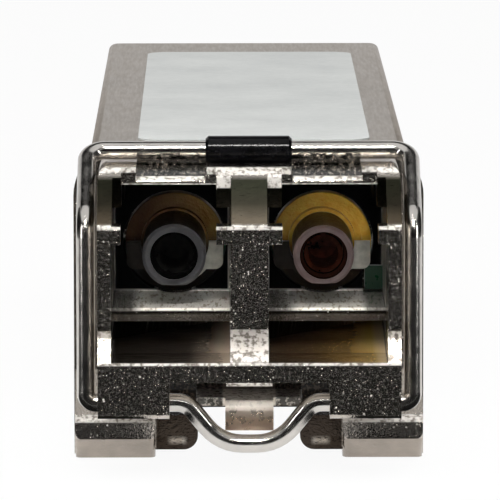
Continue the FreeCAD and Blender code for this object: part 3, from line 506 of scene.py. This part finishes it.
def barrel_plastic(name, side, dark, light, bore):
    """Conductive plastic of a barrel, darker further back with painted shade, and its bore painted dark as
    shadow.
    """
    mat, tree, shader = material(name)
    place = coords(tree)
    tint = mottle(tree, place, 2.2, dark, light)
    x = math_node(tree, "SUBTRACT", axis(tree, "X"), side * PORT_X)
    z = axis(tree, "Z")
    y = axis(tree, "Y")
    radius = math_node(tree, "SQRT", math_node(tree, "ADD", times(tree, x, x), times(tree, z, z)))
    within = span(tree, radius, 1.0, 0.0, BORE_R - 0.02, BORE_R + 0.02)
    inside = times(tree, within, span(tree, y, 0.0, 1.0, 4.74, 4.80))
    # painted shade further back in the port
    tint = tinted(tree, tint, (0.10, 0.08, 0.07), span(tree, y, 0.0, 1.0, 5.2, 7.0))
    # painted shadow filling the bore
    tint = mix(tree, tint, bore, inside)
    rough = uneven(tree, noise(tree, place, 5.0, 2), 0.28, 0.44)
    feed(tree, shader, colour=tint, shine=span(tree, inside, 0.5, 0.12),
         rough=math_node(tree, "SUBTRACT", rough, times(tree, inside, 0.20)))
    bump(tree, shader, [(noise(tree, place, 8.0, 3), 0.010)])
    return mat


def plastic(name, dark, light, rough, grain=0.004, shine=0.5):
    """Moulded plastic with a fine texture."""
    mat, tree, shader = material(name)
    place = coords(tree)
    tint = mottle(tree, place, 2.2, dark, light)
    feed(tree, shader, colour=tint, shine=shine, rough=uneven(tree, noise(tree, place, 5.0, 2), *rough))
    bump(tree, shader, [(noise(tree, place, 8.0, 3), grain)])
    return mat


def label_film():
    """Bare polyester label: pale grey, faintly mottled."""
    mat, tree, shader = material("label_film")
    place = coords(tree)
    tint = mottle(tree, place, 0.22, (0.50, 0.52, 0.515), (0.60, 0.62, 0.61), 4)
    feed(tree, shader, colour=tint, rough=uneven(tree, noise(tree, place, 3.0, 2), 0.38, 0.50))
    bump(tree, shader, [(noise(tree, place, 5.0, 2), 0.001)])
    return mat


def solder_mask():
    """Green board with faint tracks under the mask."""
    mat, tree, shader = material("solder_mask")
    place = coords(tree)
    track = tree.nodes.new("ShaderNodeTexBrick")
    track.inputs["Scale"].default_value = 0.9
    track.inputs["Color1"].default_value = (0.010, 0.085, 0.032, 1)
    track.inputs["Color2"].default_value = (0.014, 0.110, 0.042, 1)
    track.inputs["Mortar"].default_value = (0.007, 0.060, 0.024, 1)
    track.inputs["Mortar Size"].default_value = 0.04
    tree.links.new(place, track.inputs["Vector"])
    rough = uneven(tree, noise(tree, place, 3.0, 2), 0.25, 0.38)
    feed(tree, shader, colour=track.outputs["Color"], rough=rough)
    bump(tree, shader, [(track.outputs["Fac"], 0.01)])
    return mat


strip = spring_steel()
# sleeves and stubs inside the bores: painted shadow, black on the transmit side; on the receive side a real
# red-brown tint darkened by painted shade
bore_shadow_black = plastic("bore_shadow_black", grey(0.002), (0.006, 0.006, 0.005), (0.10, 0.22), 0.010, 0.10)
amber = plastic("amber", (0.008, 0.002, 0.001), (0.030, 0.007, 0.003), (0.06, 0.16), 0.012, 0.20)
epoxy = plastic("epoxy", (0.018, 0.018, 0.020), (0.030, 0.030, 0.032), (0.40, 0.55), 0.006)
film = plastic("film", (0.34, 0.14, 0.025), (0.44, 0.20, 0.040), (0.28, 0.40), 0.002)

FINISH = {
    "housing_casting": cast_nickel(),
    "top_cover": cover_nickel(),
    "label_plate": label_film(),
    "bail_wire": bright_wire(),
    "bail_sleeve": plastic("black_gloss", grey(0.002), (0.005, 0.005, 0.006), (0.10, 0.18), 0.004, 0.14),
    "actuator_slide": stamped_steel("stamped_steel", grey(1.0)),
    # the keeper: a darker copy of the same steel, painted shade all over
    "actuator_keeper": stamped_steel("keeper_steel_painted_shade", (0.14, 0.12, 0.10)),
    "return_spring": strip,
    "shield_collar": strip,
    "tx_saddle": saddle_steel("tx_saddle_steel", -1),
    "rx_saddle": saddle_steel("rx_saddle_steel", 1),
    # the last colour of each barrel is the painted shadow in its bore
    "tx_barrel": barrel_plastic("charcoal", -1, (0.028, 0.028, 0.031), (0.046, 0.046, 0.050),
                                grey(0.003)),
    "rx_barrel": barrel_plastic("taupe", 1, (0.080, 0.052, 0.051), (0.115, 0.080, 0.078),
                                (0.012, 0.0035, 0.002)),
    "tx_split_sleeve": bore_shadow_black,
    "rx_split_sleeve": amber,
    "tx_fibre_stub": bore_shadow_black,
    "rx_fibre_stub": amber,
    # one gold with different painted light: dim on the transmit side, bright on the receive side
    "tx_collar": gold_plate("tx_gold_painted_dim", -1, 0.0, 0.16),
    "rx_collar": gold_plate("rx_gold_painted_lit", 1, 0.40, 1.0),
    "tx_can": strip,
    "rx_can": strip,
    "tx_flex_circuit": film,
    "rx_flex_circuit": film,
    "circuit_board": solder_mask(),
    "edge_contacts": gold_plate("gold"),
    "laser_driver": epoxy,
    "limiting_amplifier": epoxy,
    "microcontroller": epoxy,
    "power_filter": epoxy,
    "chip_components": plastic("chip_ceramic", (0.30, 0.22, 0.15), (0.42, 0.32, 0.22), (0.35, 0.50), 0.004),
}
for name, mat in FINISH.items():
    dress(nodes[name], mat)


# ---------------------------------------------------------------- return spring
def coil_spring(name, node, wire_r, turns, steps=28, sides=10):
    """Round-wire spring in the place of a CAD coil along Y."""
    low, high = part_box(node)
    middle = [(a + b) / 2 for a, b in zip(low, high)]
    coil_r = (high[0] - low[0]) / 2 - wire_r
    start = low[1] + wire_r
    length = high[1] - low[1] - 2 * wire_r
    rings = turns * steps
    forward = Vector((0, 1, 0))
    points = []
    faces = []
    for i in range(rings + 1):
        turn = math.tau * i / steps
        outward = Vector((math.cos(turn), 0, math.sin(turn)))
        centre = Vector((middle[0], start + length * i / rings, middle[2])) + coil_r * outward
        for j in range(sides):
            angle = math.tau * j / sides
            points.append(centre + wire_r * (outward * math.cos(angle) + forward * math.sin(angle)))
            if i:
                here, back, k = i * sides, (i - 1) * sides, (j + 1) % sides
                faces.append((here + j, here + k, back + k, back + j))
    faces += [tuple(range(sides)), tuple(reversed(range(rings * sides, (rings + 1) * sides)))]
    mesh = bpy.data.meshes.new(name)
    mesh.from_pydata(points, [], faces)
    mesh.polygons.foreach_set("use_smooth", [len(face) == 4 for face in faces])
    mesh.validate()
    obj = bpy.data.objects.new(name, mesh)
    scene.collection.objects.link(obj)
    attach(obj, "root")
    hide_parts(node)
    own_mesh(obj)
    return obj


spring = coil_spring("kick_out_spring", "return_spring", SPRING_WIRE_R * MM, SPRING_TURNS)
dress(spring, strip)


# ---------------------------------------------------------------- rounded edges
def soften(obj, width, segments=2, angle=32):
    """Small rounds on a CAD node's sharp edges, as a modifier."""
    weld = obj.modifiers.new("weld", "WELD")
    weld.merge_threshold = 1e-6
    rounds = obj.modifiers.new("rounds", "BEVEL")
    rounds.width = width * MM
    rounds.segments = segments
    rounds.limit_method = "ANGLE"
    rounds.angle_limit = math.radians(angle)
    rounds.use_clamp_overlap = True
    rounds.harden_normals = True


# radius of the rounds, mm
ROUNDS = {"housing_casting": 0.15, "actuator_slide": 0.05, "tx_saddle": 0.06, "rx_saddle": 0.06,
          "tx_collar": 0.04, "rx_collar": 0.04, "top_cover": 0.04}
for name, width in ROUNDS.items():
    soften(nodes[name], width)


# ---------------------------------------------------------------- stage
def plane(name, size, centre, turn=(0, 0, 0)):
    """Flat stage piece."""
    w, h = size[0] / 2, size[1] / 2
    mesh = bpy.data.meshes.new(name)
    mesh.from_pydata([(-w, -h, 0), (w, -h, 0), (w, h, 0), (-w, h, 0)], [], [(0, 1, 2, 3)])
    obj = bpy.data.objects.new(name, mesh)
    obj.location = centre
    obj.rotation_euler = turn
    scene.collection.objects.link(obj)
    return obj


def floor_material():
    """Pale floor: white to the camera and in reflections, with a faint contact shadow."""
    mat, tree, shader = material("floor")
    shader.inputs["Base Color"].default_value = (0.86, 0.86, 0.86, 1)
    shader.inputs["Roughness"].default_value = 0.9
    shader.inputs["Specular IOR Level"].default_value = 0.1
    glow = tree.nodes.new("ShaderNodeEmission")
    glow.inputs["Color"].default_value = (1, 1, 1, 1)
    path = tree.nodes.new("ShaderNodeLightPath")
    white = math_node(tree, "ADD", times(tree, path.outputs["Is Camera Ray"], 0.93),
                      times(tree, path.outputs["Is Glossy Ray"], 0.70))
    blend = tree.nodes.new("ShaderNodeMixShader")
    tree.links.new(white, blend.inputs["Fac"])
    tree.links.new(shader.outputs["BSDF"], blend.inputs[1])
    tree.links.new(glow.outputs["Emission"], blend.inputs[2])
    tree.links.new(blend.outputs["Shader"], tree.nodes["Material Output"].inputs["Surface"])
    return mat


def dark_card():
    """Black studio card."""
    mat, tree, shader = material("dark_card")
    shader.inputs["Base Color"].default_value = (0.010, 0.010, 0.010, 1)
    shader.inputs["Roughness"].default_value = 1.0
    shader.inputs["Specular IOR Level"].default_value = 0.0
    return mat


def hide(obj):
    """Leave a card to the reflections only."""
    obj.visible_camera = False
    obj.visible_shadow = False
    obj.visible_diffuse = False


floor_z = cad_box[0][2]
floor = plane("floor", (3.0, 3.0), (0, 0.3, floor_z - 0.00001))
dress(floor, floor_material())
black = dark_card()
# size, centre, turn in degrees
CARDS = {
    "front_card": ((0.30, 0.115), (0, -0.085, floor_z + 0.0585), (90, 0, 0)),
    "floor_card": ((0.16, 0.081), (0, -0.0435, floor_z + 0.0006), (0, 0, 0)),
    "left_floor_card": ((0.06, 0.0084), (-0.034, 0.0012, floor_z + 0.0005), (0, 0, 0)),
    "right_floor_card": ((0.06, 0.0084), (0.034, 0.0012, floor_z + 0.0005), (0, 0, 0)),
    "left_card": ((0.20, 0.09), (-0.09, -0.01, floor_z + 0.047), (90, 0, 90)),
    "right_card": ((0.20, 0.09), (0.09, -0.01, floor_z + 0.047), (90, 0, 90)),
    "top_card": ((0.20, 0.080), (0, 0.075, 0.10), (0, 0, 0)),
}
for name, (size, centre, turn) in CARDS.items():
    card = plane(name, size, centre, [math.radians(a) for a in turn])
    dress(card, black)
    hide(card)


def softbox(name, place, target, size, power, colour=(1, 1, 1), spread=180):
    """Rectangular area lamp that faces a point."""
    data = bpy.data.lights.new(name, "AREA")
    data.shape = "RECTANGLE"
    data.size, data.size_y = size
    data.energy = power
    data.color = colour
    data.spread = math.radians(spread)
    obj = bpy.data.objects.new(name, data)
    obj.location = place
    obj.rotation_euler = (Vector(target) - Vector(place)).to_track_quat("-Z", "Y").to_euler()
    scene.collection.objects.link(obj)
    return obj


overhead = softbox("overhead", (0.0, -0.06, 0.24), (0, 0.01, 0), (0.24, 0.20), 0.48, (1.0, 0.985, 0.96))
overhead.visible_glossy = False
glow_strip = softbox("glow_strip", (0.0, -0.083, 0.052), (0, 0, 0), (0.12, 0.020), 0.0060)
glow_strip.visible_diffuse = False
fill = softbox("fill", (0.0, -0.079, 0.012), (0, 0.002, -0.002), (0.030, 0.008), 0.0006, (1, 1, 1), 16)
fill.visible_glossy = False
softbox("port_light", (0.0, -0.070, 0.070), (0, 0.005, -0.004), (0.03, 0.02), 0.0008, (1, 0.98, 0.94), 11)
softbox("left_strip", (-0.085, -0.06, 0.02), (0, 0, 0), (0.006, 0.06), 0.02)
softbox("right_strip", (0.085, -0.06, 0.02), (0, 0, 0), (0.006, 0.06), 0.02)

world = bpy.data.worlds.new("studio")
scene.world = world
world.use_nodes = True
tree = world.node_tree
sky = tree.nodes["Background"]
sky.inputs["Color"].default_value = (1, 1, 1, 1)
path = tree.nodes.new("ShaderNodeLightPath")
seen = math_node(tree, "ADD", path.outputs["Is Camera Ray"], path.outputs["Is Transmission Ray"],
                 times(tree, path.outputs["Is Glossy Ray"], 0.75))
tree.links.new(biggest(tree, seen, 0.45), sky.inputs["Strength"])

scene.view_settings.view_transform = "Standard"

# ---------------------------------------------------------------- camera
lens = bpy.data.cameras.new("camera")
lens.angle = math.radians(VIEW_ANGLE)
lens.clip_start = 0.005
lens.clip_end = 20.0
eye = bpy.data.objects.new("camera", lens)
eye.location = [place * MM for place in EYE]
eye.rotation_euler = [math.radians(angle) for angle in EYE_TURN]
scene.collection.objects.link(eye)
scene.camera = eye
